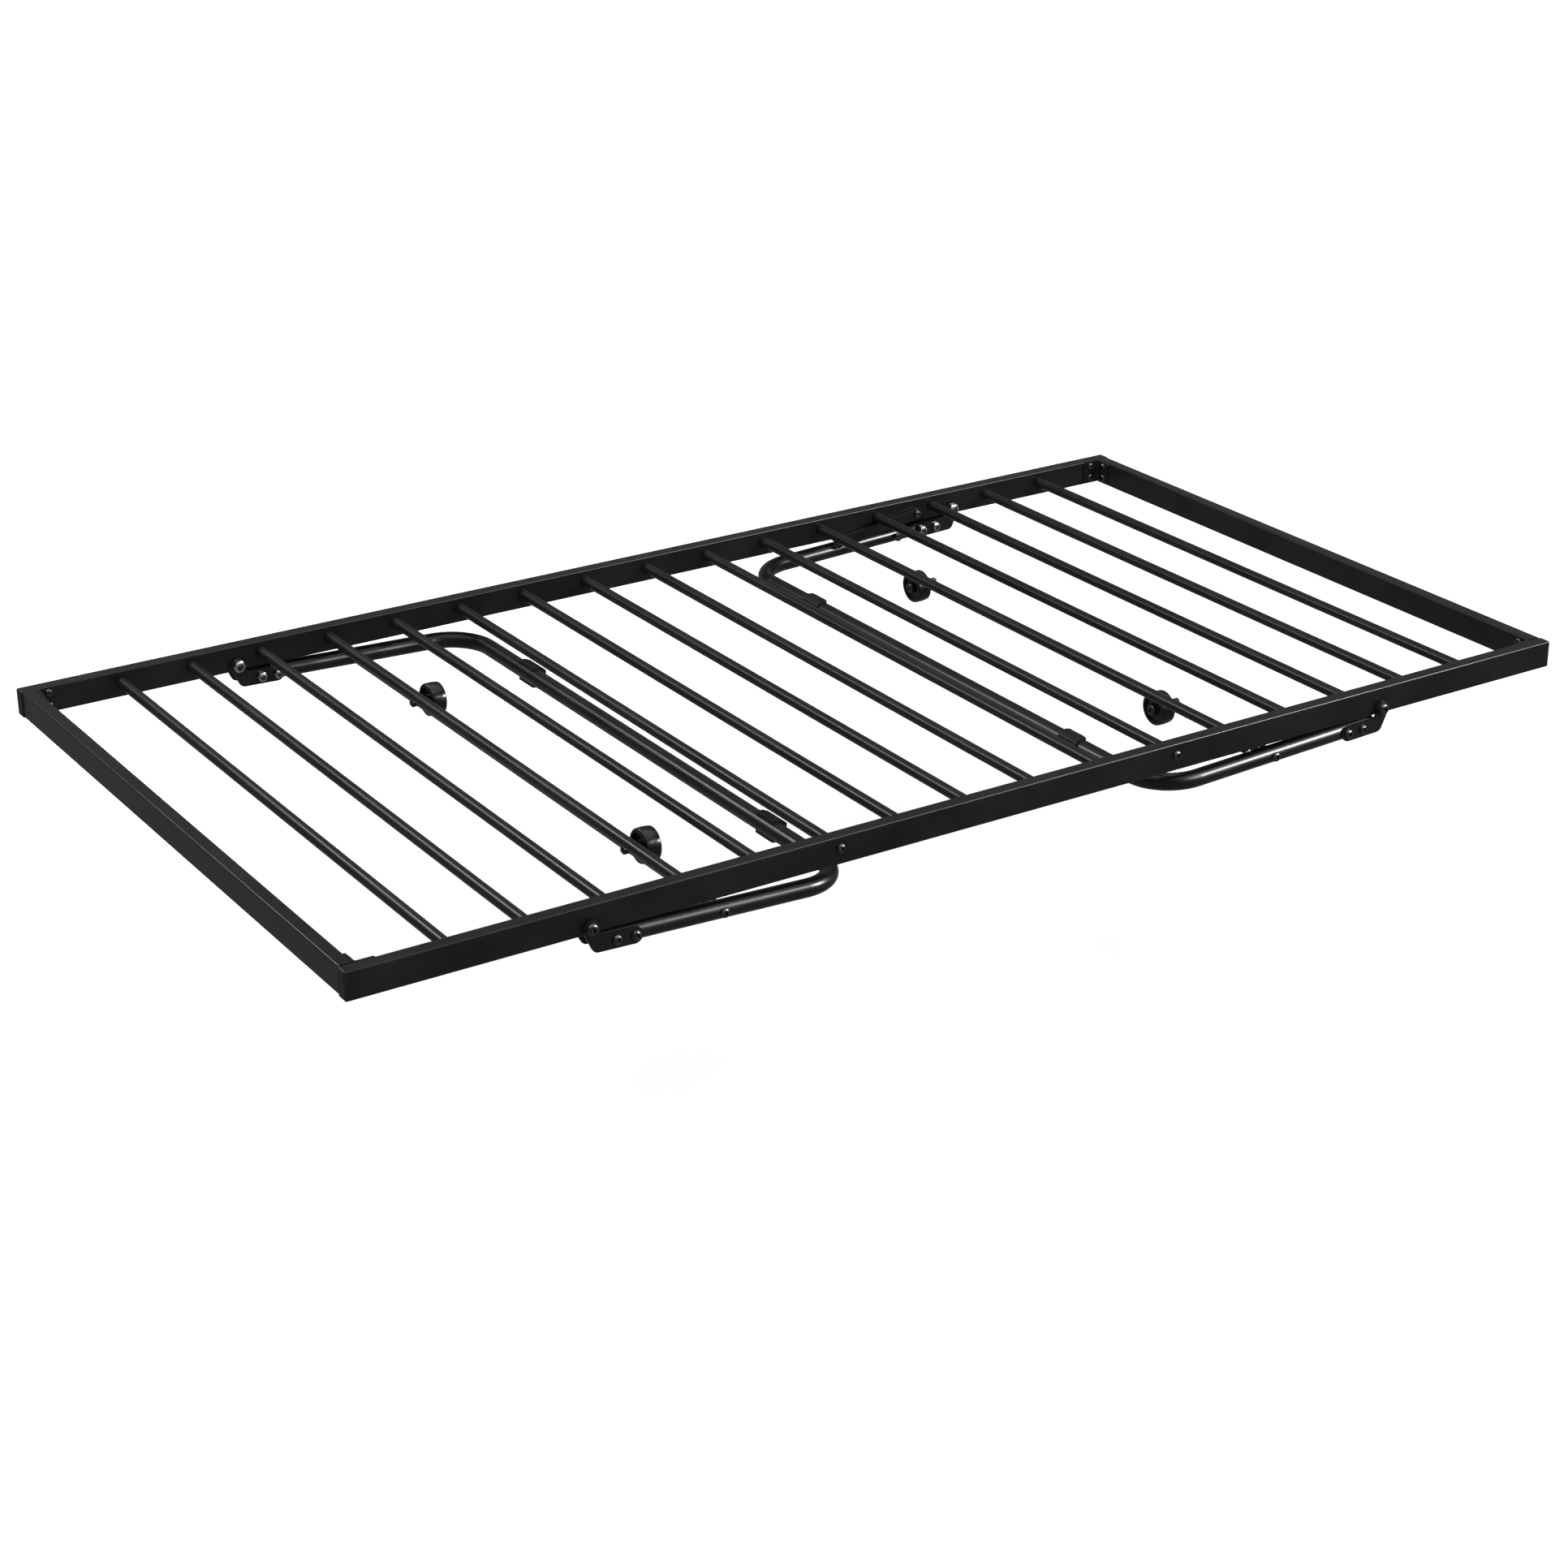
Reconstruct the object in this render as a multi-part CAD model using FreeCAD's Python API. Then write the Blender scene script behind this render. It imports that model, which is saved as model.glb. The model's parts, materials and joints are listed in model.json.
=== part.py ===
import FreeCAD, Part
import math
import os

# A steel trundle bed frame with two folding U-shaped legs, lowered onto its four wheels.
# Millimetres. +X runs along the bed, +Y from front to back, +Z up. The origin is on the floor, under
# the middle of the frame.
# Each leg is built in its own frame: origin on its pivot line, +X along the leg towards the middle of
# the bed, +Z square to it. The left leg is then set in place, and the right leg is its mirror image.

V = FreeCAD.Vector

# Frame
BED_LENGTH = 1950.0
BED_WIDTH = 1072.0
RAIL_HEIGHT = 40.0
RAIL_WIDTH = 20.0
RAIL_WALL = 1.5
RAIL_CORNER = 2.5
CAP_FLANGE = 3.0
CAP_PLUG = 15.0
CAP_ROUNDING = 2.4
END_SET_IN = 2.0  # how far an end rail stands back from the ends of the side rails
END_GAP = 0.6  # between an end rail and a side rail
GAP = 0.3  # between two pieces that sit close and don't move
RUNNING = 0.05  # radial clearance of a hinge or an axle
SIDE_GAP = 0.1  # side clearance of a moving piece

# Slats
SLAT_COUNT = 16
SLAT_PITCH = 110.0
SLAT_R = 8.0
SLAT_WALL = 1.2
SLAT_DROP = 17.0  # rail top to slat axis
SLAT_ENTRY = 14.0  # how far a slat reaches into a side rail
TIED_SLATS = (6, 11)
PLUG_DEPTH = 24.0  # solid threaded end of a tied slat or a crossbar

# Corner brackets
BRACKET_THICK = 3.0
BRACKET_HEIGHT = 36.0
BRACKET_LEAF = 30.0
BRACKET_DROP = 18.5  # rail top to the middle of a bracket
BRACKET_BOLT_STEP = 20.0  # between the two bolts in a leaf
BRACKET_BOLT_IN = 17.5  # from the end rail's inner face to the side leaf's bolts
BRACKET_BOLT_ALONG = 19.0  # from the side rail's inner face to the end leaf's bolts

# Leg pivot
PIVOT_X = 645.0
PIVOT_DROP = 30.0  # rail top to pivot line
FOLD_SLOPE = 2.25  # degrees, folded leg down towards the middle of the bed
TUBE_DROP = 22.4  # pivot line to leg tube axis

# Leg
TUBE_R = 12.5
TUBE_WALL = 1.5
LEG_REACH = 390.0  # pivot line to the axis of the U's end bar
BEND_R = 65.0
TUBE_START = 12.3
TUBE_CAP = 2.0
TUBE_PLUG = 16.0
PLATE_THICK = 3.0
PLATE_LOBE_R = 12.0
PLATE_END_R = 11.5
PLATE_HEEL_R = 10.0
PLATE_HEEL_X = 10.0
PLATE_FILLET = 5.0
PLATE_BOLTS = (36.0, 63.0)
CROSSBAR_X = 194.0
CROSSBAR_R = 8.0
CROSSBAR_FLAT = 7.0  # crossbar axis to the flats that the axle bolts seat on

# Wheels
WHEEL_X = 215.5
WHEEL_Y = 306.0
WHEEL_R = 25.0
WHEEL_HALF = 11.5
WHEEL_CROWN = 60.0  # radius of the tread's crown
WHEEL_EDGE = 2.5
HUB_R = 9.0
HUB_STAND = 1.2
RECESS_R = 18.5
RECESS_DEPTH = 3.0
AXLE_R = 5.0

# Foot pads
PAD_Y = 332.0
PAD_LENGTH = 40.0
PAD_R = 16.4
PAD_SOLE = 17.0
PAD_SOLE_HALF = 10.0
PAD_MOUTH = 7.0
PAD_RIB_R = 1.1
PAD_RIB_ANGLES = (42.0, 59.0, 76.0, 93.0, 109.0)

# Stays, on the right leg only
STAY_X = 72.0  # pivot line of the leg to pivot line of the stay
STAY_LIFT = 5.0
STAY_HALF = 9.25
STAY_THICK = 3.0
STAY_REACH = 158.0
STAY_SLOPE = 7.5
STAY_LAYER = 13.5  # side rail centre to the stay's outer face
STUD_X = 112.0
STUD_R = 4.0
STUD_HEAD_R = 7.5
HOOK_CLEAR = 0.4
LEG_TRAVEL = 87.75

# Bolts
M6_R = 3.0
M8_R = 4.0
M10_R = 5.0
PIVOT_HEAD_R = 8.5
PIVOT_HEAD_H = 5.0
BOLT_HEAD_R = 7.0
BOLT_HEAD_H = 4.4
CORNER_HEAD_R = 6.0
CORNER_HEAD_H = 3.4
AXLE_HEAD_R = 8.0
NUT_HEIGHT = 7.5
PIVOT_NUT_AF = 17.0
PLATE_NUT_AF = 13.0
HEAD_WASHER_R = 11.0
HEAD_WASHER_H = 1.2
PIVOT_WASHER_R = 10.0

# Derived
slope = math.radians(FOLD_SLOPE)
rail_y = BED_WIDTH / 2 - RAIL_WIDTH / 2
rail_inner_y = rail_y - RAIL_WIDTH / 2
end_outer_x = BED_LENGTH / 2 - END_SET_IN
end_inner_x = end_outer_x - RAIL_WIDTH
wheel_low = (WHEEL_R - WHEEL_CROWN) * math.cos(slope) + WHEEL_CROWN
pivot_z = wheel_low + WHEEL_X * math.sin(slope) + TUBE_DROP * math.cos(slope)
rail_top = pivot_z + PIVOT_DROP
rail_bottom = rail_top - RAIL_HEIGHT
slat_z = rail_top - SLAT_DROP
plate_in = TUBE_R + 0.2
plate_out = plate_in + PLATE_THICK
pivot_washer_h = plate_in - SIDE_GAP - RAIL_WIDTH / 2
head_seat = plate_out + SIDE_GAP


def box(x, y, z):
    """A box between pairs of limits."""
    return Part.makeBox(x[1] - x[0], y[1] - y[0], z[1] - z[0], V(x[0], y[0], z[0]))


def rod(base, direction, radius, length):
    return Part.makeCylinder(radius, length, V(*base), V(*direction))


def aimed(shape, base, direction):
    """A shape drawn along +Z, turned to point along direction, with its origin moved to base."""
    turned = shape.copy()
    turned.Placement = FreeCAD.Placement(V(*base), FreeCAD.Rotation(V(0, 0, 1), V(*direction)))
    return turned


def rounded_bar(x, y, z, radius, axis):
    """A box whose four edges along the given axis are rounded."""
    body = box(x, y, z)
    edges = []
    for edge in body.Edges:
        ends = [vertex.Point for vertex in edge.Vertexes]
        along = (ends[1] - ends[0]).normalize()
        if abs(along.dot(V(*axis))) > 0.99:
            edges.append(edge)
    return body.makeFillet(radius, edges)


def revolved(points):
    """A closed profile of (radius, height) points, turned about Z."""
    corners = [V(r, 0, h) for r, h in points]
    face = Part.Face(Part.makePolygon(corners + [corners[0]]))
    return face.revolve(V(0, 0, 0), V(0, 0, 1), 360)


def hexagon(across_flats, height):
    corner = across_flats / math.sqrt(3)
    points = []
    for i in range(7):
        angle = math.radians(60 * i)
        points.append(V(corner * math.cos(angle), corner * math.sin(angle), 0))
    return Part.Face(Part.makePolygon(points)).extrude(V(0, 0, height))


def button_bolt(head_r, head_h, shank_r, shank_len):
    """A bolt along Z: seat at z = 0, flat-topped head above it with a hex socket, shank below."""
    flat_r = head_r * 0.68
    rim = head_h * 0.35
    outer = V(head_r, 0, rim)
    top = V(flat_r, 0, head_h)
    bulge = V(head_r * 0.88, 0, head_h * 0.76)
    edges = [
        Part.makeLine(V(0, 0, 0), V(head_r, 0, 0)),
        Part.makeLine(V(head_r, 0, 0), outer),
        Part.Arc(outer, bulge, top).toShape(),
        Part.makeLine(top, V(0, 0, head_h)),
        Part.makeLine(V(0, 0, head_h), V(0, 0, 0)),
    ]
    head = Part.Face(Part.Wire(edges)).revolve(V(0, 0, 0), V(0, 0, 1), 360)
    socket = hexagon(shank_r * 1.15, head_h)
    socket.translate(V(0, 0, head_h * 0.45))
    shank = Part.makeCylinder(shank_r, shank_len, V(0, 0, -shank_len))
    tip = Part.makeCone(shank_r - 0.8, shank_r, 0.8, V(0, 0, -shank_len))
    body = shank.cut(Part.makeCylinder(shank_r + 1, 0.8, V(0, 0, -shank_len))).fuse(tip)
    return head.cut(socket).fuse(body).removeSplitter()


def lock_nut(across_flats, height, bore_r):
    """A locknut along Z on its seat at z = 0, with a round collar on top of the hexagon."""
    hex_h = height * 0.72
    r = across_flats / 2
    side = [(r + 0.3, 0), (r + 1.1, 0.7), (r + 1.1, hex_h - 0.7), (r - 0.2, hex_h)]
    shell = revolved([(0, 0)] + side + [(0, hex_h)])
    collar = [(0, hex_h), (r - 0.6, hex_h), (r - 0.6, height - 1), (r - 1.8, height), (0, height)]
    nut = hexagon(across_flats, hex_h).common(shell).fuse(revolved(collar))
    return nut.cut(Part.makeCylinder(bore_r, height * 3, V(0, 0, -height)))


def washer(outer_r, inner_r, height):
    ring = Part.makeCylinder(outer_r, height)
    return ring.cut(Part.makeCylinder(inner_r, height))


def place_left(shape):
    """Move a piece from the leg's own frame to the left leg's folded place."""
    placed = shape.copy()
    placed.rotate(V(0, 0, 0), V(0, 1, 0), FOLD_SLOPE)
    placed.translate(V(-PIVOT_X, 0, pivot_z))
    return placed


def place(shape, side):
    placed = place_left(shape)
    if side == "right":
        placed = placed.mirror(V(0, 0, 0), V(1, 0, 0))
    return placed


def save(name, shapes):
    if len(shapes) == 1:
        shapes[0].exportStep("parts/" + name + ".step")
    else:
        Part.makeCompound(shapes).exportStep("parts/" + name + ".step")


def slat_x(number):
    return (number - (SLAT_COUNT + 1) / 2) * SLAT_PITCH


# ---- frame ----

def hollow_rail(x, y, axis):
    """A rectangular tube between limits, with its ends open along the axis."""
    z = (rail_bottom, rail_top)
    outer = rounded_bar(x, y, z, RAIL_CORNER, axis)
    inset = [(limit[0] + RAIL_WALL, limit[1] - RAIL_WALL) for limit in (x, y, z)]
    for i in range(2):
        if axis[i]:
            inset[i] = (x, y)[i]
    return outer.cut(rounded_bar(*inset, RAIL_CORNER - RAIL_WALL, axis))


def side_rail(front):
    """One long rail, drilled for slats, corner bolts, leg pivots and stays."""
    sign = -1 if front else 1
    half = BED_LENGTH / 2 - CAP_FLANGE
    y = sorted((sign * rail_inner_y, sign * BED_WIDTH / 2))
    rail = hollow_rail((-half, half), y, (1, 0, 0))
    inner = sign * (rail_inner_y - 5)
    outward = (0, sign, 0)
    cuts = []
    for number in range(1, SLAT_COUNT + 1):
        x = slat_x(number)
        cuts.append(rod((x, inner, slat_z), outward, SLAT_R + GAP, 10))
        if number in TIED_SLATS:
            cuts.append(rod((x, inner, slat_z), outward, M8_R + GAP, 40))
    for x_sign in (-1, 1):
        cuts.append(rod((x_sign * PIVOT_X, inner, pivot_z), outward, M10_R + GAP, 40))
        for z in corner_bolt_heights():
            x = x_sign * (end_inner_x - BRACKET_BOLT_IN)
            cuts.append(rod((x, inner, z), outward, M6_R + GAP, 10))
    cuts.append(rod((PIVOT_X - STAY_X, inner, pivot_z + STAY_LIFT), outward, M8_R + GAP, 10))
    return rail.cut(cuts)


def corner_bolt_heights():
    middle = rail_top - BRACKET_DROP
    return (middle - BRACKET_BOLT_STEP / 2, middle + BRACKET_BOLT_STEP / 2)


def end_rail(right):
    """One short rail between the side rails, drilled for its corner bolts."""
    sign = 1 if right else -1
    x = sorted((sign * end_inner_x, sign * end_outer_x))
    half = rail_inner_y - END_GAP
    rail = hollow_rail(x, (-half, half), (0, 1, 0))
    cuts = []
    for y_sign in (-1, 1):
        for z in corner_bolt_heights():
            y = y_sign * (rail_inner_y - BRACKET_BOLT_ALONG)
            cuts.append(rod((sign * (end_inner_x - 5), y, z), (sign, 0, 0), M6_R + GAP, 10))
    return rail.cut(cuts)


def slat(number):
    """A round tube across the bed. A tied slat has solid threaded ends that reach the outer wall."""
    x = slat_x(number)
    tied = number in TIED_SLATS
    half = BED_WIDTH / 2 - RAIL_WALL if tied else rail_inner_y + SLAT_ENTRY
    body = rod((x, -half, slat_z), (0, 1, 0), SLAT_R, 2 * half)
    if not tied:
        return body.cut(rod((x, -half, slat_z), (0, 1, 0), SLAT_R - SLAT_WALL, 2 * half))
    hollow = half - PLUG_DEPTH
    body = body.cut(rod((x, -hollow, slat_z), (0, 1, 0), SLAT_R - SLAT_WALL, 2 * hollow))
    return body.cut(rod((x, -half, slat_z), (0, 1, 0), M8_R + GAP, 2 * half))


def rail_cap(x_sign, y_sign):
    """A plastic cap: a flange over the end of a side rail and a plug inside it."""
    end = BED_LENGTH / 2
    y = sorted((y_sign * rail_inner_y, y_sign * BED_WIDTH / 2))
    flange = rounded_bar((end - CAP_FLANGE, end), y, (rail_bottom, rail_top), RAIL_CORNER, (1, 0, 0))
    face = max(flange.Faces, key=lambda item: item.CenterOfMass.x)
    flange = flange.makeFillet(CAP_ROUNDING, face.Edges)
    inset = RAIL_WALL + GAP
    plug_x = (end - CAP_FLANGE - CAP_PLUG, end - CAP_FLANGE)
    plug_y = (y[0] + inset, y[1] - inset)
    plug_z = (rail_bottom + inset, rail_top - inset)
    plug = rounded_bar(plug_x, plug_y, plug_z, RAIL_CORNER - RAIL_WALL, (1, 0, 0))
    core_x = (plug_x[0], plug_x[1] - 2)
    plug = plug.cut(box(core_x, (plug_y[0] + 2, plug_y[1] - 2), (plug_z[0] + 2, plug_z[1] - 2)))
    cap = flange.fuse(plug).removeSplitter()
    if x_sign < 0:
        cap = cap.mirror(V(0, 0, 0), V(1, 0, 0))
    return cap


def corner_bracket():
    """An L of flat bar in the right back corner, with two bolt holes in each leaf."""
    z = (rail_top - BRACKET_DROP - BRACKET_HEIGHT / 2, rail_top - BRACKET_DROP + BRACKET_HEIGHT / 2)
    x = (end_inner_x - BRACKET_LEAF, end_inner_x)
    y = (rail_inner_y - BRACKET_LEAF, rail_inner_y)
    side_leaf = rounded_bar(x, (y[1] - BRACKET_THICK, y[1]), z, 3, (0, 1, 0))
    end_leaf = rounded_bar((x[1] - BRACKET_THICK, x[1]), y, z, 3, (1, 0, 0))
    corner = box((x[1] - 6, x[1]), (y[1] - 6, y[1]), z)
    inside = rod((x[1] - 6, y[1] - 6, z[0]), (0, 0, 1), 3, BRACKET_HEIGHT)
    inside = inside.fuse(box((x[1] - 6, x[1] - 3), (y[1] - 9, y[1] - 6), z))
    inside = inside.fuse(box((x[1] - 9, x[1] - 6), (y[1] - 9, y[1] - 3), z))
    bracket = side_leaf.fuse([end_leaf, corner]).cut(inside)
    cuts = []
    for height in corner_bolt_heights():
        cuts.append(rod((x[1] - BRACKET_BOLT_IN, y[1] - 9, height), (0, 1, 0), M6_R + GAP, 10))
        cuts.append(rod((x[1] - 9, y[1] - BRACKET_BOLT_ALONG, height), (1, 0, 0), M6_R + GAP, 10))
    return bracket.cut(cuts).removeSplitter()


def four_corners(shape):
    """A shape drawn in the right back corner, repeated in all four."""
    left = shape.mirror(V(0, 0, 0), V(1, 0, 0))
    front = [item.mirror(V(0, 0, 0), V(0, 1, 0)) for item in (shape, left)]
    return [shape, left] + front


def corner_bolts():
    bolt = button_bolt(CORNER_HEAD_R, CORNER_HEAD_H, M6_R, 14)
    bolts = []
    for height in corner_bolt_heights():
        side_spot = (end_inner_x - BRACKET_BOLT_IN, rail_inner_y - BRACKET_THICK, height)
        end_spot = (end_inner_x - BRACKET_THICK, rail_inner_y - BRACKET_BOLT_ALONG, height)
        bolts += four_corners(aimed(bolt, side_spot, (0, -1, 0)))
        bolts += four_corners(aimed(bolt, end_spot, (-1, 0, 0)))
    return bolts


def build_frame():
    save("side_rail_front", [side_rail(True)])
    save("side_rail_back", [side_rail(False)])
    save("end_rail_left", [end_rail(False)])
    save("end_rail_right", [end_rail(True)])
    for number in range(1, SLAT_COUNT + 1):
        save("slat_{:02d}".format(number), [slat(number)])
    save("rail_end_caps", [rail_cap(i, j) for i in (-1, 1) for j in (-1, 1)])
    save("corner_brackets", four_corners(corner_bracket()))
    save("corner_bolts", corner_bolts())
    bolt = button_bolt(BOLT_HEAD_R, BOLT_HEAD_H, M8_R, 22)
    tied = []
    for number in TIED_SLATS:
        for sign in (-1, 1):
            tied.append(aimed(bolt, (slat_x(number), sign * BED_WIDTH / 2, slat_z), (0, sign, 0)))
    save("slat_bolts", tied)


def build_pivots():
    """Each pivot from outside: bolt head, thin washer, plate, washer, rail, washer, plate, locknut."""
    bolt_len = 2 * head_seat + HEAD_WASHER_H + NUT_HEIGHT + 1
    bolt = button_bolt(PIVOT_HEAD_R, PIVOT_HEAD_H, M10_R, bolt_len)
    nut = lock_nut(PIVOT_NUT_AF, NUT_HEIGHT, M10_R + GAP)
    thin = washer(HEAD_WASHER_R, M10_R + GAP, HEAD_WASHER_H)
    thick = washer(PIVOT_WASHER_R, M10_R + GAP, pivot_washer_h)
    bolts = []
    nuts = []
    heads = []
    washers = []
    for x_sign in (-1, 1):
        for sign in (-1, 1):
            x = x_sign * PIVOT_X
            outward = (0, sign, 0)
            inward = (0, -sign, 0)
            seat = sign * (rail_y + head_seat)
            bolts.append(aimed(bolt, (x, seat + sign * HEAD_WASHER_H, pivot_z), outward))
            heads.append(aimed(thin, (x, seat, pivot_z), outward))
            nuts.append(aimed(nut, (x, sign * (rail_y - head_seat), pivot_z), inward))
            washers.append(aimed(thick, (x, sign * BED_WIDTH / 2, pivot_z), outward))
            washers.append(aimed(thick, (x, sign * rail_inner_y, pivot_z), inward))
    save("pivot_bolts", bolts)
    save("pivot_nuts", nuts)
    save("pivot_head_washers", heads)
    save("pivot_washers", washers)


# ---- legs ----

def leg_path(reach_y):
    """The centre line of the U from its front upper end round to its back upper end."""
    z = -TUBE_DROP
    turn = LEG_REACH - BEND_R
    side = reach_y - BEND_R
    off = BEND_R * math.sqrt(0.5)
    edges = [
        Part.makeLine(V(TUBE_START, -reach_y, z), V(turn, -reach_y, z)),
        Part.Arc(V(turn, -reach_y, z), V(turn + off, -side - off, z), V(LEG_REACH, -side, z)).toShape(),
        Part.makeLine(V(LEG_REACH, -side, z), V(LEG_REACH, side, z)),
        Part.Arc(V(LEG_REACH, side, z), V(turn + off, side + off, z), V(turn, reach_y, z)).toShape(),
        Part.makeLine(V(turn, reach_y, z), V(TUBE_START, reach_y, z)),
    ]
    return Part.Wire(edges)


def swept(radius):
    ring = Part.Wire([Part.makeCircle(radius, V(TUBE_START, -rail_y, -TUBE_DROP), V(1, 0, 0))])
    return leg_path(rail_y).makePipeShell([ring], True, True)


def leg_tube(studs):
    body = swept(TUBE_R).cut(swept(TUBE_R - TUBE_WALL))
    cuts = []
    for x in PLATE_BOLTS + (CROSSBAR_X,):
        for sign in (-1, 1):
            base = (x, sign * (rail_y - TUBE_R - 5), -TUBE_DROP)
            cuts.append(rod(base, (0, sign, 0), M8_R + GAP, 2 * TUBE_R + 10))
    if studs:
        for sign in (-1, 1):
            base = (STUD_X, sign * rail_y, -TUBE_DROP)
            cuts.append(rod(base, (0, -sign, 0), M6_R + GAP, TUBE_R + 5))
    return body.cut(cuts)


def leg_plate(y_in):
    """A cranked plate between y_in and y_in + its thickness, from the pivot to the leg tube."""
    base = V(0, y_in, 0)
    lift = V(0, PLATE_THICK, 0)

    def disc(x, z, radius):
        return Part.makeCylinder(radius, PLATE_THICK, base + V(x, 0, z), V(0, 1, 0))

    def slab(points):
        corners = [base + V(x, 0, z) for x, z in points]
        return Part.Face(Part.makePolygon(corners + [corners[0]])).extrude(lift)

    mid = -TUBE_DROP
    low = mid - PLATE_END_R
    high = mid + PLATE_END_R
    heel_z = low + PLATE_HEEL_R
    run = math.hypot(PLATE_HEEL_X, heel_z)
    lean = math.atan2(-heel_z, PLATE_HEEL_X)
    turn = math.asin((PLATE_LOBE_R - PLATE_HEEL_R) / run)
    nx = -math.sin(lean - turn)
    nz = -math.cos(lean - turn)
    tangent = [
        (0, 0),
        (PLATE_LOBE_R * nx, PLATE_LOBE_R * nz),
        (PLATE_HEEL_X + PLATE_HEEL_R * nx, heel_z + PLATE_HEEL_R * nz),
        (PLATE_HEEL_X, heel_z),
    ]
    end = PLATE_BOLTS[1] - 1
    heel = [(0, heel_z), (PLATE_HEEL_X, heel_z)]
    arm = slab([(PLATE_HEEL_X, low), (end, low), (end, high), (0, high)] + heel)
    neck = slab([(0, 0), (PLATE_LOBE_R, 0), (PLATE_LOBE_R, high), (0, high)])
    corner_x = PLATE_LOBE_R + PLATE_FILLET
    web = slab([(PLATE_LOBE_R, high), (PLATE_LOBE_R, high + PLATE_FILLET), (corner_x, high)])
    web = web.cut(disc(corner_x, high + PLATE_FILLET, PLATE_FILLET))
    plate = disc(0, 0, PLATE_LOBE_R).fuse([
        slab(tangent),
        disc(PLATE_HEEL_X, heel_z, PLATE_HEEL_R),
        arm,
        neck,
        web,
        disc(end, mid, PLATE_END_R),
    ])
    cuts = [disc(0, 0, M10_R + RUNNING)]
    for x in PLATE_BOLTS:
        cuts.append(disc(x, mid, M8_R + GAP))
    return plate.cut(cuts).removeSplitter()


def crossbar():
    """A round tube between the U's sides, saddled to them, with solid threaded ends."""
    z = -TUBE_DROP
    half = rail_y - TUBE_R / 2
    body = rod((CROSSBAR_X, -half, z), (0, 1, 0), CROSSBAR_R, 2 * half)
    cuts = []
    hollow = rail_y - TUBE_R - PLUG_DEPTH
    cuts.append(rod((CROSSBAR_X, -hollow, z), (0, 1, 0), CROSSBAR_R - SLAT_WALL, 2 * hollow))
    for sign in (-1, 1):
        cuts.append(rod((CROSSBAR_X - 20, sign * rail_y, z), (1, 0, 0), TUBE_R + GAP, 40))
        cuts.append(rod((CROSSBAR_X, sign * (hollow - 2), z), (0, sign, 0), M8_R + GAP, PLUG_DEPTH + 10))
        y = sign * WHEEL_Y
        cuts.append(rod((CROSSBAR_X + CROSSBAR_FLAT, y, z), (1, 0, 0), AXLE_HEAD_R, 5))
        cuts.append(rod((CROSSBAR_X - CROSSBAR_FLAT, y, z), (-1, 0, 0), AXLE_HEAD_R, 5))
        cuts.append(rod((CROSSBAR_X - 10, y, z), (1, 0, 0), M8_R + GAP, 20))
    return body.cut(cuts)


def tube_plug(sign):
    """A plastic plug with a rounded flange in an upper end of the leg tube."""
    r = TUBE_R
    bore = TUBE_R - TUBE_WALL - GAP
    tail = TUBE_CAP + TUBE_PLUG
    profile = [(0, 0), (r - 1, 0), (r, 1), (r, TUBE_CAP), (bore, TUBE_CAP), (bore, tail), (bore - 2, tail)]
    profile += [(bore - 2, TUBE_CAP + 1), (0, TUBE_CAP + 1)]
    return aimed(revolved(profile), (TUBE_START - TUBE_CAP, sign * rail_y, -TUBE_DROP), (1, 0, 0))


def foot_pad(sign):
    """A plastic saddle that clips round the U's end bar, with a flat sole and ribs along its top."""
    y = sign * PAD_Y - PAD_LENGTH / 2
    z = -TUBE_DROP
    limits = (y, y + PAD_LENGTH)
    body = rod((LEG_REACH, y, z), (0, 1, 0), PAD_R, PAD_LENGTH)
    sole_z = (z - PAD_SOLE_HALF, z + PAD_SOLE_HALF)
    body = body.fuse(rounded_bar((LEG_REACH, LEG_REACH + PAD_SOLE), limits, sole_z, 2, (0, 1, 0)))
    ribs = []
    for angle in PAD_RIB_ANGLES:
        a = math.radians(angle)
        spot = (LEG_REACH + PAD_R * math.cos(a), y + 3, z + PAD_R * math.sin(a))
        ribs.append(rod(spot, (0, 1, 0), PAD_RIB_R, PAD_LENGTH - 6))
    body = body.fuse(ribs)
    body = body.cut(rod((LEG_REACH, y, z), (0, 1, 0), TUBE_R + GAP, PAD_LENGTH))
    mouth_x = (LEG_REACH - PAD_R - 2, LEG_REACH - PAD_MOUTH)
    return body.cut(box(mouth_x, limits, (z - PAD_R - 2, z + PAD_R + 2)))


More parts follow.
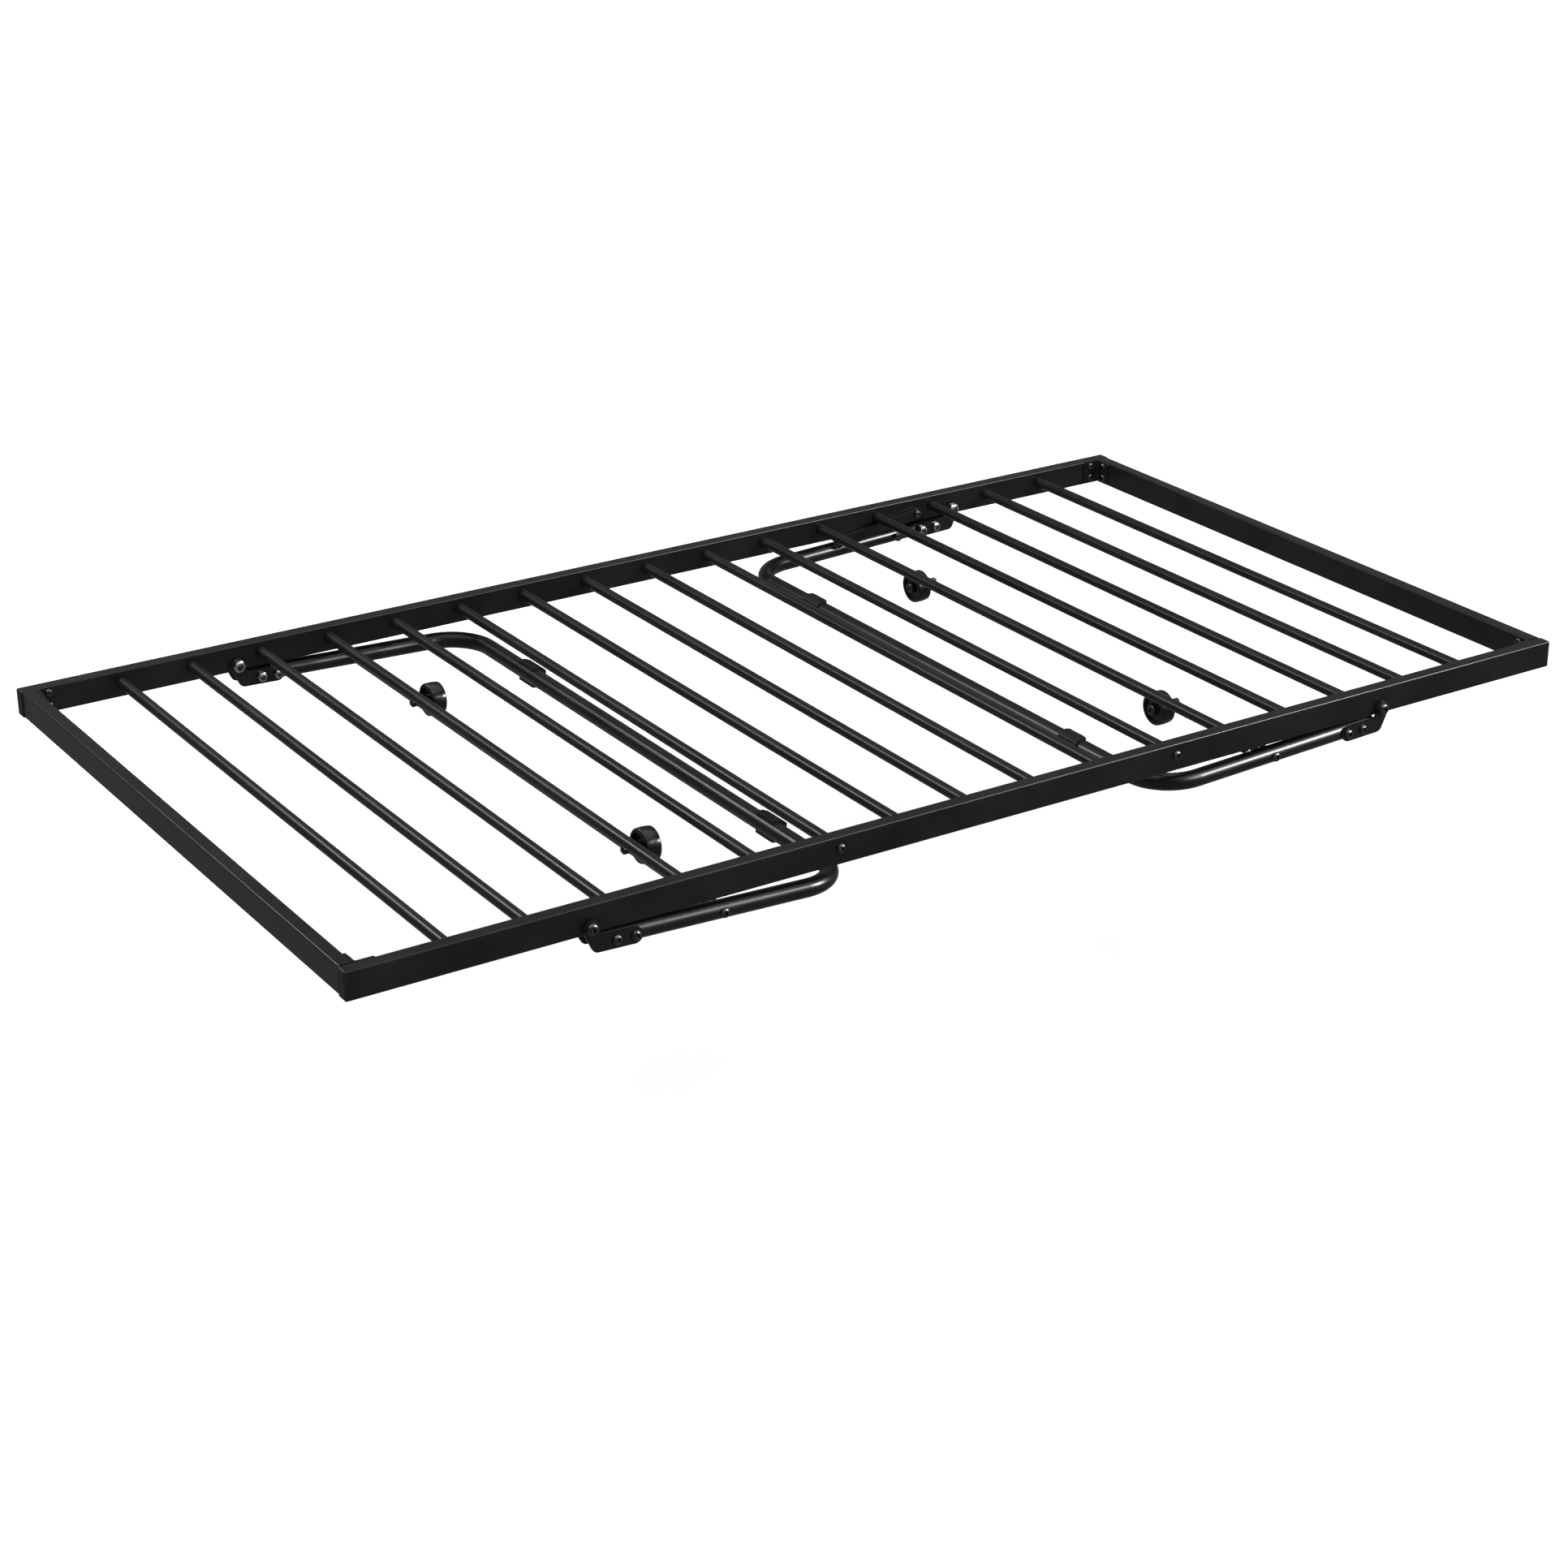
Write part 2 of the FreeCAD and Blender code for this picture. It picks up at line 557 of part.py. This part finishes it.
def wheel(sign):
    """A plastic wheel with a crowned tread, recessed faces and a hub that stands proud of them."""
    dish = WHEEL_CROWN - math.sqrt(WHEEL_CROWN ** 2 - (WHEEL_HALF - WHEEL_EDGE) ** 2)
    shoulder = WHEEL_R - dish
    w = WHEEL_HALF
    e = WHEEL_EDGE
    inset = e * (1 - math.sqrt(0.5))
    left = V(shoulder, 0, -(w - e))
    right = V(shoulder, 0, w - e)
    left_foot = V(shoulder - e, 0, -w)
    right_foot = V(shoulder - e, 0, w)
    edges = [
        Part.makeLine(V(0, 0, -w), left_foot),
        Part.Arc(left_foot, V(shoulder - inset, 0, -w + inset), left).toShape(),
        Part.Arc(left, V(WHEEL_R, 0, 0), right).toShape(),
        Part.Arc(right, V(shoulder - inset, 0, w - inset), right_foot).toShape(),
        Part.makeLine(right_foot, V(0, 0, w)),
        Part.makeLine(V(0, 0, w), V(0, 0, -w)),
    ]
    body = Part.Face(Part.Wire(edges)).revolve(V(0, 0, 0), V(0, 0, 1), 360)
    for side in (-1, 1):
        ring = washer(RECESS_R, HUB_R, RECESS_DEPTH + 1)
        ring.translate(V(0, 0, w - RECESS_DEPTH if side > 0 else -w - 1))
        body = body.cut(ring)
    body = body.fuse(Part.makeCylinder(HUB_R, 2 * (w + HUB_STAND), V(0, 0, -w - HUB_STAND)))
    body = body.cut(Part.makeCylinder(AXLE_R + RUNNING, 4 * w, V(0, 0, -2 * w)))
    return aimed(body.removeSplitter(), (WHEEL_X, sign * WHEEL_Y, -TUBE_DROP), (1, 0, 0))


def axle_bolt(sign):
    """A shoulder bolt: domed head, shoulder that the wheel turns on, threaded end in the crossbar."""
    head_x = WHEEL_X + WHEEL_HALF + HUB_STAND + SIDE_GAP
    seat_x = CROSSBAR_X + CROSSBAR_FLAT
    tip_x = CROSSBAR_X - CROSSBAR_FLAT - NUT_HEIGHT - 1
    bolt = button_bolt(AXLE_HEAD_R, BOLT_HEAD_H, M8_R, head_x - tip_x)
    shoulder = Part.makeCylinder(AXLE_R, head_x - seat_x, V(0, 0, seat_x - head_x))
    bolt = bolt.fuse(shoulder).removeSplitter()
    return aimed(bolt, (head_x, sign * WHEEL_Y, -TUBE_DROP), (1, 0, 0))


def stud(sign):
    """A headed stud on the inner side of the leg tube, which a stay hooks on."""
    top = STAY_LAYER + STAY_THICK + 1
    profile = [
        (0, TUBE_R - TUBE_WALL - 4),
        (M6_R, TUBE_R - TUBE_WALL - 4),
        (M6_R, TUBE_R + 0.1),
        (STUD_R + 1.5, TUBE_R + 0.1),
        (STUD_R + 1.5, STAY_LAYER - 0.3),
        (STUD_R, STAY_LAYER - 0.3),
        (STUD_R, top),
        (STUD_HEAD_R, top),
        (STUD_HEAD_R, top + 1.5),
        (STUD_HEAD_R - 1.8, top + 3.5),
        (0, top + 3.5),
    ]
    return aimed(revolved(profile), (STUD_X, sign * rail_y, -TUBE_DROP), (0, -sign, 0))


def build_leg(side):
    both = (-1, 1)
    outer = [leg_plate(rail_y + plate_in), leg_plate(-rail_y - plate_out)]
    inner = [leg_plate(rail_y - plate_out), leg_plate(-rail_y + plate_in)]
    plate_bolt = button_bolt(BOLT_HEAD_R, BOLT_HEAD_H, M8_R, 2 * plate_out + NUT_HEIGHT + 1)
    plate_nut = lock_nut(PLATE_NUT_AF, NUT_HEIGHT, M8_R + GAP)
    cross_bolt = button_bolt(BOLT_HEAD_R, BOLT_HEAD_H, M8_R, 2 * TUBE_R + PLUG_DEPTH - 4)
    axle_nut = lock_nut(PLATE_NUT_AF, NUT_HEIGHT, M8_R + GAP)
    z = -TUBE_DROP
    bolts = []
    nuts = []
    for sign in both:
        for x in PLATE_BOLTS:
            bolts.append(aimed(plate_bolt, (x, sign * (rail_y + plate_out), z), (0, sign, 0)))
            nuts.append(aimed(plate_nut, (x, sign * (rail_y - plate_out), z), (0, -sign, 0)))
    head_y = rail_y + TUBE_R + 0.1
    crossing = [aimed(cross_bolt, (CROSSBAR_X, sign * head_y, z), (0, sign, 0)) for sign in both]
    nut_x = CROSSBAR_X - CROSSBAR_FLAT
    axle_nuts = [aimed(axle_nut, (nut_x, sign * WHEEL_Y, z), (-1, 0, 0)) for sign in both]
    pieces = {
        "tube": [leg_tube(side == "right")],
        "crossbar": [crossbar()],
        "outer_plates": outer,
        "inner_plates": inner,
        "plate_bolts": bolts,
        "plate_nuts": nuts,
        "crossbar_bolts": crossing,
        "tube_plugs": [tube_plug(sign) for sign in both],
        "foot_pads": [foot_pad(sign) for sign in both],
        "axle_bolts": [axle_bolt(sign) for sign in both],
        "axle_nuts": axle_nuts,
    }
    if side == "right":
        pieces["stay_studs"] = [stud(sign) for sign in both]
    for name, shapes in pieces.items():
        save("leg_" + side + "_" + name, [place(shape, side) for shape in shapes])
    for sign, end in ((-1, "front"), (1, "back")):
        save("wheel_" + side + "_" + end, [place(wheel(sign), side)])


# ---- stays ----

def hook_points():
    """The stud's place in the stay's own frame with the leg down, and a little before it."""
    places = []
    end_angle = None
    for travel in (LEG_TRAVEL, LEG_TRAVEL - 6.5):
        turn = math.radians(FOLD_SLOPE + travel)
        x = STUD_X * math.cos(turn) - TUBE_DROP * math.sin(turn) - STAY_X
        z = -STUD_X * math.sin(turn) - TUBE_DROP * math.cos(turn) - STAY_LIFT
        if end_angle is None:
            end_angle = math.atan2(-z, x)
        share = travel / LEG_TRAVEL
        angle = math.radians(STAY_SLOPE) + (end_angle - math.radians(STAY_SLOPE)) * share
        along = x * math.cos(angle) - z * math.sin(angle)
        up = x * math.sin(angle) + z * math.cos(angle)
        places.append((along, up))
    return places


def stay(sign):
    """A flat bar from its pivot on the side rail, with a slanted hook slot near its free end."""
    y = rail_y - STAY_LAYER - STAY_THICK
    bar = box((0, STAY_REACH), (y, y + STAY_THICK), (-STAY_HALF, STAY_HALF))
    for x in (0, STAY_REACH):
        bar = bar.fuse(rod((x, y, 0), (0, 1, 0), STAY_HALF, STAY_THICK))
    seat, mouth = hook_points()
    r = STUD_R + HOOK_CLEAR
    run_x = mouth[0] - seat[0]
    run_z = mouth[1] - seat[1]
    length = math.hypot(run_x, run_z)
    side_x = -run_z / length * r
    side_z = run_x / length * r
    corners = [
        V(seat[0] + side_x, y, seat[1] + side_z),
        V(mouth[0] + side_x, y, mouth[1] + side_z),
        V(mouth[0] - side_x, y, mouth[1] - side_z),
        V(seat[0] - side_x, y, seat[1] - side_z),
    ]
    slot = Part.Face(Part.makePolygon(corners + [corners[0]])).extrude(V(0, STAY_THICK, 0))
    cuts = [slot]
    for x, z in (seat, mouth):
        cuts.append(rod((x, y, z), (0, 1, 0), r, STAY_THICK))
    cuts.append(rod((0, y, 0), (0, 1, 0), M8_R + RUNNING, STAY_THICK))
    bar = bar.removeSplitter().cut(cuts)
    bar.rotate(V(0, 0, 0), V(0, 1, 0), STAY_SLOPE)
    bar.translate(V(-PIVOT_X + STAY_X, 0, pivot_z + STAY_LIFT))
    bar = bar.mirror(V(0, 0, 0), V(1, 0, 0))
    if sign < 0:
        bar = bar.mirror(V(0, 0, 0), V(0, 1, 0))
    return bar


def build_stays():
    x = PIVOT_X - STAY_X
    z = pivot_z + STAY_LIFT
    spacer_h = STAY_LAYER - SIDE_GAP - RAIL_WIDTH / 2
    head_at = STAY_LAYER + STAY_THICK + SIDE_GAP
    screw = button_bolt(BOLT_HEAD_R, BOLT_HEAD_H, M8_R, head_at - RAIL_WIDTH / 2 + 12)
    spacer = washer(STAY_HALF, M8_R + GAP, spacer_h)
    screws = []
    spacers = []
    for sign, end in ((-1, "front"), (1, "back")):
        save("stay_" + end, [stay(sign)])
        inward = (0, -sign, 0)
        screws.append(aimed(screw, (x, sign * (rail_y - head_at), z), inward))
        spacers.append(aimed(spacer, (x, sign * rail_inner_y, z), inward))
    save("stay_screws", screws)
    save("stay_spacers", spacers)


os.makedirs("parts", exist_ok=True)
build_frame()
build_pivots()
build_leg("left")
build_leg("right")
build_stays()
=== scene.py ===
import json
import math

import bpy
from mathutils import Matrix, Vector


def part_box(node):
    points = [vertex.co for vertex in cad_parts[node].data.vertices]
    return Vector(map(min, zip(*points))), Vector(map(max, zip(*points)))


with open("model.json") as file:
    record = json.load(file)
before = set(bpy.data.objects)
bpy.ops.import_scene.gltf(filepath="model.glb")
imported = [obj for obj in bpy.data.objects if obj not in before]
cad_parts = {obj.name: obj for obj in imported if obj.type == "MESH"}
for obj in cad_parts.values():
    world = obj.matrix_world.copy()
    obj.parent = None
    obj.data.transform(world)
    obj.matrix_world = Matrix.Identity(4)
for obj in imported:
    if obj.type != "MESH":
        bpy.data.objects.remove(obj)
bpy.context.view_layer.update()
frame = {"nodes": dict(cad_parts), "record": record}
nodes = frame["nodes"]

# Camera: the point it aims at on the plane of the rails' tops, in metres, how far off it stands,
# and its angles in degrees: azimuth, turned from +Y towards +X, then how far it looks down, then roll.
AIM = (-0.2456, -0.3558)
DISTANCE = 4.3274
AZIMUTH = 32.57
ELEVATION = 23.62
ROLL = -0.368
LENS = 74.96
SENSOR = 36.0

# Studio: how far off the wall stands, how bright it and the world are, the floor's two tones, and
# the overhead light's strength and its spread in degrees.
STUDIO_RADIUS = 30.0
WALL_STRENGTH = 1.1
WORLD_STRENGTH = 0.3
FLOOR_TONES = ((0.93, 0.93, 0.935), (0.95, 0.95, 0.95))
OVERHEAD_STRENGTH = 3.6
OVERHEAD_SPREAD = 80

# Soft boxes: name, place, point they aim at, size and power.
SOFTBOXES = (
    ("key", (2.55, -2.45, 1.6), (0.5, -0.5, 0), (0.6, 0.5), 420),
    ("strip", (1.4, -2.5, 1.7), (-0.2, -0.5, 0), (1.8, 0.5), 110),
    ("back", (-1.5, 2.05, 1.9), (0, -0.4, 0), (0.8, 0.6), 60),
)

# How turning marks on plated steel and scuffs on plastic are squeezed along each axis.
MARKS_STRETCH = (1, 8, 1)
SCUFF_STRETCH = (1, 6, 1)


# ---- materials ----

def new_material(name):
    material = bpy.data.materials.new(name)
    material.use_nodes = True
    tree = material.node_tree
    return material, tree, tree.nodes["Principled BSDF"]


def add(tree, kind, **settings):
    node = tree.nodes.new(kind)
    for key, value in settings.items():
        setattr(node, key, value)
    return node


def coordinates(tree, stretch=(1, 1, 1)):
    """Object coordinates in metres, stretched along each axis."""
    source = add(tree, "ShaderNodeTexCoord")
    mapping = add(tree, "ShaderNodeMapping")
    mapping.inputs["Scale"].default_value = stretch
    tree.links.new(source.outputs["Object"], mapping.inputs["Vector"])
    return mapping.outputs["Vector"]


def noise(tree, vector, scale, detail=3.0, roughness=0.55):
    node = add(tree, "ShaderNodeTexNoise")
    node.inputs["Scale"].default_value = scale
    node.inputs["Detail"].default_value = detail
    node.inputs["Roughness"].default_value = roughness
    tree.links.new(vector, node.inputs["Vector"])
    return node.outputs["Fac"]


def spread(tree, value, low, high, start=0.3, end=0.7):
    """A noise value, mapped onto a range."""
    node = add(tree, "ShaderNodeMapRange")
    node.inputs["From Min"].default_value = start
    node.inputs["From Max"].default_value = end
    node.inputs["To Min"].default_value = low
    node.inputs["To Max"].default_value = high
    tree.links.new(value, node.inputs["Value"])
    return node.outputs["Result"]


def blend_colours(tree, value, first, second, start=0.35, end=0.65):
    ramp = add(tree, "ShaderNodeValToRGB")
    ramp.color_ramp.elements[0].position = start
    ramp.color_ramp.elements[0].color = (*first, 1)
    ramp.color_ramp.elements[1].position = end
    ramp.color_ramp.elements[1].color = (*second, 1)
    tree.links.new(value, ramp.inputs["Fac"])
    return ramp.outputs["Color"]


def bump(tree, bsdf, heights):
    """Bumps laid over each other: (height, strength, distance in metres), finest last."""
    normal = None
    for value, strength, distance in heights:
        node = add(tree, "ShaderNodeBump")
        node.inputs["Strength"].default_value = strength
        node.inputs["Distance"].default_value = distance
        tree.links.new(value, node.inputs["Height"])
        if normal is not None:
            tree.links.new(normal, node.inputs["Normal"])
        normal = node.outputs["Normal"]
    tree.links.new(normal, bsdf.inputs["Normal"])


def paint(name, dark, light, rough, peel, shine):
    """Black paint on steel: cloudy tone and gloss, orange peel and a fine dusty grain."""
    material, tree, bsdf = new_material(name)
    place = coordinates(tree)
    cloud = noise(tree, place, 9.0, 4.0)
    fine = noise(tree, place, 900.0, 2.0)
    coarse = noise(tree, place, 240.0, 2.0)
    dust = noise(tree, place, 3800.0, 2.0, 0.7)
    tree.links.new(blend_colours(tree, cloud, dark, light), bsdf.inputs["Base Color"])
    tree.links.new(spread(tree, cloud, rough[0], rough[1]), bsdf.inputs["Roughness"])
    bsdf.inputs["Specular IOR Level"].default_value = shine
    bump(tree, bsdf, [(coarse, peel, 0.0003), (fine, peel, 0.00012), (dust, peel * 0.5, 0.00003)])
    return material


def metal(name, dark, light, rough):
    """Plated steel: mottled plating and fine turning marks."""
    material, tree, bsdf = new_material(name)
    place = coordinates(tree)
    cloud = noise(tree, place, 260.0, 3.0)
    marks = noise(tree, coordinates(tree, MARKS_STRETCH), 900.0, 2.0)
    tree.links.new(blend_colours(tree, cloud, dark, light), bsdf.inputs["Base Color"])
    tree.links.new(spread(tree, marks, rough[0], rough[1]), bsdf.inputs["Roughness"])
    bsdf.inputs["Metallic"].default_value = 1.0
    bump(tree, bsdf, [(marks, 0.15, 0.00005)])
    return material


def plastic(name, dark, light, rough, grain, grain_scale, shine):
    """Moulded plastic with a fine grain and slight scuffs."""
    material, tree, bsdf = new_material(name)
    place = coordinates(tree)
    cloud = noise(tree, place, 60.0, 4.0)
    fine = noise(tree, place, grain_scale, 3.0, 0.65)
    scuff = noise(tree, coordinates(tree, SCUFF_STRETCH), 140.0, 5.0, 0.7)
    tree.links.new(blend_colours(tree, scuff, dark, light, 0.45, 0.75), bsdf.inputs["Base Color"])
    tree.links.new(spread(tree, cloud, rough[0], rough[1]), bsdf.inputs["Roughness"])
    bsdf.inputs["Specular IOR Level"].default_value = shine
    bump(tree, bsdf, [(fine, grain, 0.0001)])
    return material


MATERIALS = {
    "frame_black": paint(
        "frame_black",
        dark=(0.0075, 0.0070, 0.0078),
        light=(0.0115, 0.0108, 0.0120),
        rough=(0.28, 0.38),
        peel=0.08,
        shine=0.09,
    ),
    "leg_black": paint(
        "leg_black",
        dark=(0.0045, 0.0046, 0.0054),
        light=(0.0075, 0.0077, 0.0090),
        rough=(0.28, 0.36),
        peel=0.03,
        shine=0.16,
    ),
    "dark_nickel": metal(
        "dark_nickel",
        dark=(0.03, 0.03, 0.031),
        light=(0.08, 0.079, 0.077),
        rough=(0.20, 0.34),
    ),
    "zinc": metal(
        "zinc",
        dark=(0.28, 0.285, 0.30),
        light=(0.44, 0.44, 0.43),
        rough=(0.20, 0.36),
    ),
    "wheel_plastic": plastic(
        "wheel_plastic",
        dark=(0.004, 0.004, 0.0044),
        light=(0.010, 0.010, 0.011),
        rough=(0.20, 0.34),
        grain=0.05,
        grain_scale=500.0,
        shine=0.15,
    ),
    "black_plastic": plastic(
        "black_plastic",
        dark=(0.006, 0.006, 0.0064),
        light=(0.014, 0.014, 0.0145),
        rough=(0.42, 0.60),
        grain=0.25,
        grain_scale=1600.0,
        shine=0.12,
    ),
}


# ---- the pieces ----

def dress_nodes():
    """Give each piece the material that its record names."""
    slots = {part["node"]: part["material_slot"] for part in frame["record"]["subparts"]}
    for name, obj in nodes.items():
        obj.data.materials.clear()
        obj.data.materials.append(MATERIALS[slots[name]])


# ---- floor, lights and camera ----

def standing_height():
    """How far below the frame's own floor the feet reach when both legs point straight down."""
    joints = {joint["name"]: joint for joint in frame["record"]["behaviour"]["joints"]}
    pivot_x, _, pivot_z = joints["leg_left_fold"]["pos_m"]
    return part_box("leg_left_foot_pads")[1].x - pivot_x - pivot_z


def build_floor(level):
    """A pale floor that the unfolded feet stand on."""
    material, tree, bsdf = new_material("floor")
    cloud = noise(tree, coordinates(tree), 2.0, 2.0)
    tree.links.new(blend_colours(tree, cloud, *FLOOR_TONES), bsdf.inputs["Base Color"])
    bsdf.inputs["Roughness"].default_value = 0.8
    bsdf.inputs["Specular IOR Level"].default_value = 0.0
    bpy.ops.mesh.primitive_plane_add(size=4 * STUDIO_RADIUS, location=(0, 0, level))
    floor = bpy.context.object
    floor.name = "floor"
    floor.data.materials.append(material)
    floor.visible_glossy = False


def build_wall(level):
    """A white wall all round, far off, that only the camera sees."""
    material, _, bsdf = new_material("wall")
    bsdf.inputs["Base Color"].default_value = (0, 0, 0, 1)
    bsdf.inputs["Specular IOR Level"].default_value = 0.0
    bsdf.inputs["Emission Color"].default_value = (1, 1, 1, 1)
    bsdf.inputs["Emission Strength"].default_value = WALL_STRENGTH
    bpy.ops.mesh.primitive_cylinder_add(
        vertices=96,
        radius=STUDIO_RADIUS,
        depth=STUDIO_RADIUS,
        end_fill_type="NOTHING",
        location=(0, 0, level + STUDIO_RADIUS / 2),
    )
    wall = bpy.context.object
    wall.name = "wall"
    wall.data.materials.append(material)
    wall.visible_glossy = False
    wall.visible_diffuse = False
    wall.visible_shadow = False


def softbox(name, place, aim, size, power):
    """A light that only shows in glossy surfaces, so that the floor stays evenly lit."""
    light = bpy.data.lights.new(name, "AREA")
    light.shape = "RECTANGLE"
    light.size, light.size_y = size
    light.energy = power
    obj = bpy.data.objects.new(name, light)
    bpy.context.scene.collection.objects.link(obj)
    obj.location = place
    obj.rotation_euler = (Vector(aim) - Vector(place)).to_track_quat("-Z", "Y").to_euler()
    obj.visible_diffuse = False


def build_lights():
    world = bpy.data.worlds.new("studio")
    bpy.context.scene.world = world
    bpy.context.scene.view_settings.view_transform = "Standard"
    world.use_nodes = True
    background = world.node_tree.nodes["Background"]
    background.inputs["Color"].default_value = (1, 1, 1, 1)
    background.inputs["Strength"].default_value = WORLD_STRENGTH
    sun = bpy.data.lights.new("overhead", "SUN")
    sun.energy = OVERHEAD_STRENGTH
    sun.angle = math.radians(OVERHEAD_SPREAD)
    bpy.context.scene.collection.objects.link(bpy.data.objects.new("overhead", sun))
    for box in SOFTBOXES:
        softbox(*box)


def build_camera():
    az, el, roll = (math.radians(a) for a in (AZIMUTH, ELEVATION, ROLL))
    look = Vector((math.sin(az) * math.cos(el), math.cos(az) * math.cos(el), -math.sin(el)))
    right = Vector((math.cos(az), -math.sin(az), 0))
    up = right.cross(look)
    tilted_right = right * math.cos(roll) + up * math.sin(roll)
    tilted_up = up * math.cos(roll) - right * math.sin(roll)
    rail_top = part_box("side_rail_front")[1].z
    place = Vector((*AIM, rail_top)) - look * DISTANCE
    data = bpy.data.cameras.new("camera")
    data.lens = LENS
    data.sensor_width = SENSOR
    data.sensor_fit = "HORIZONTAL"
    camera = bpy.data.objects.new("camera", data)
    bpy.context.scene.collection.objects.link(camera)
    axes = Matrix((tilted_right, tilted_up, -look)).transposed().to_4x4()
    camera.matrix_world = Matrix.Translation(place) @ axes
    bpy.context.scene.camera = camera


dress_nodes()
build_floor(-standing_height())
build_wall(-standing_height())
build_lights()
build_camera()
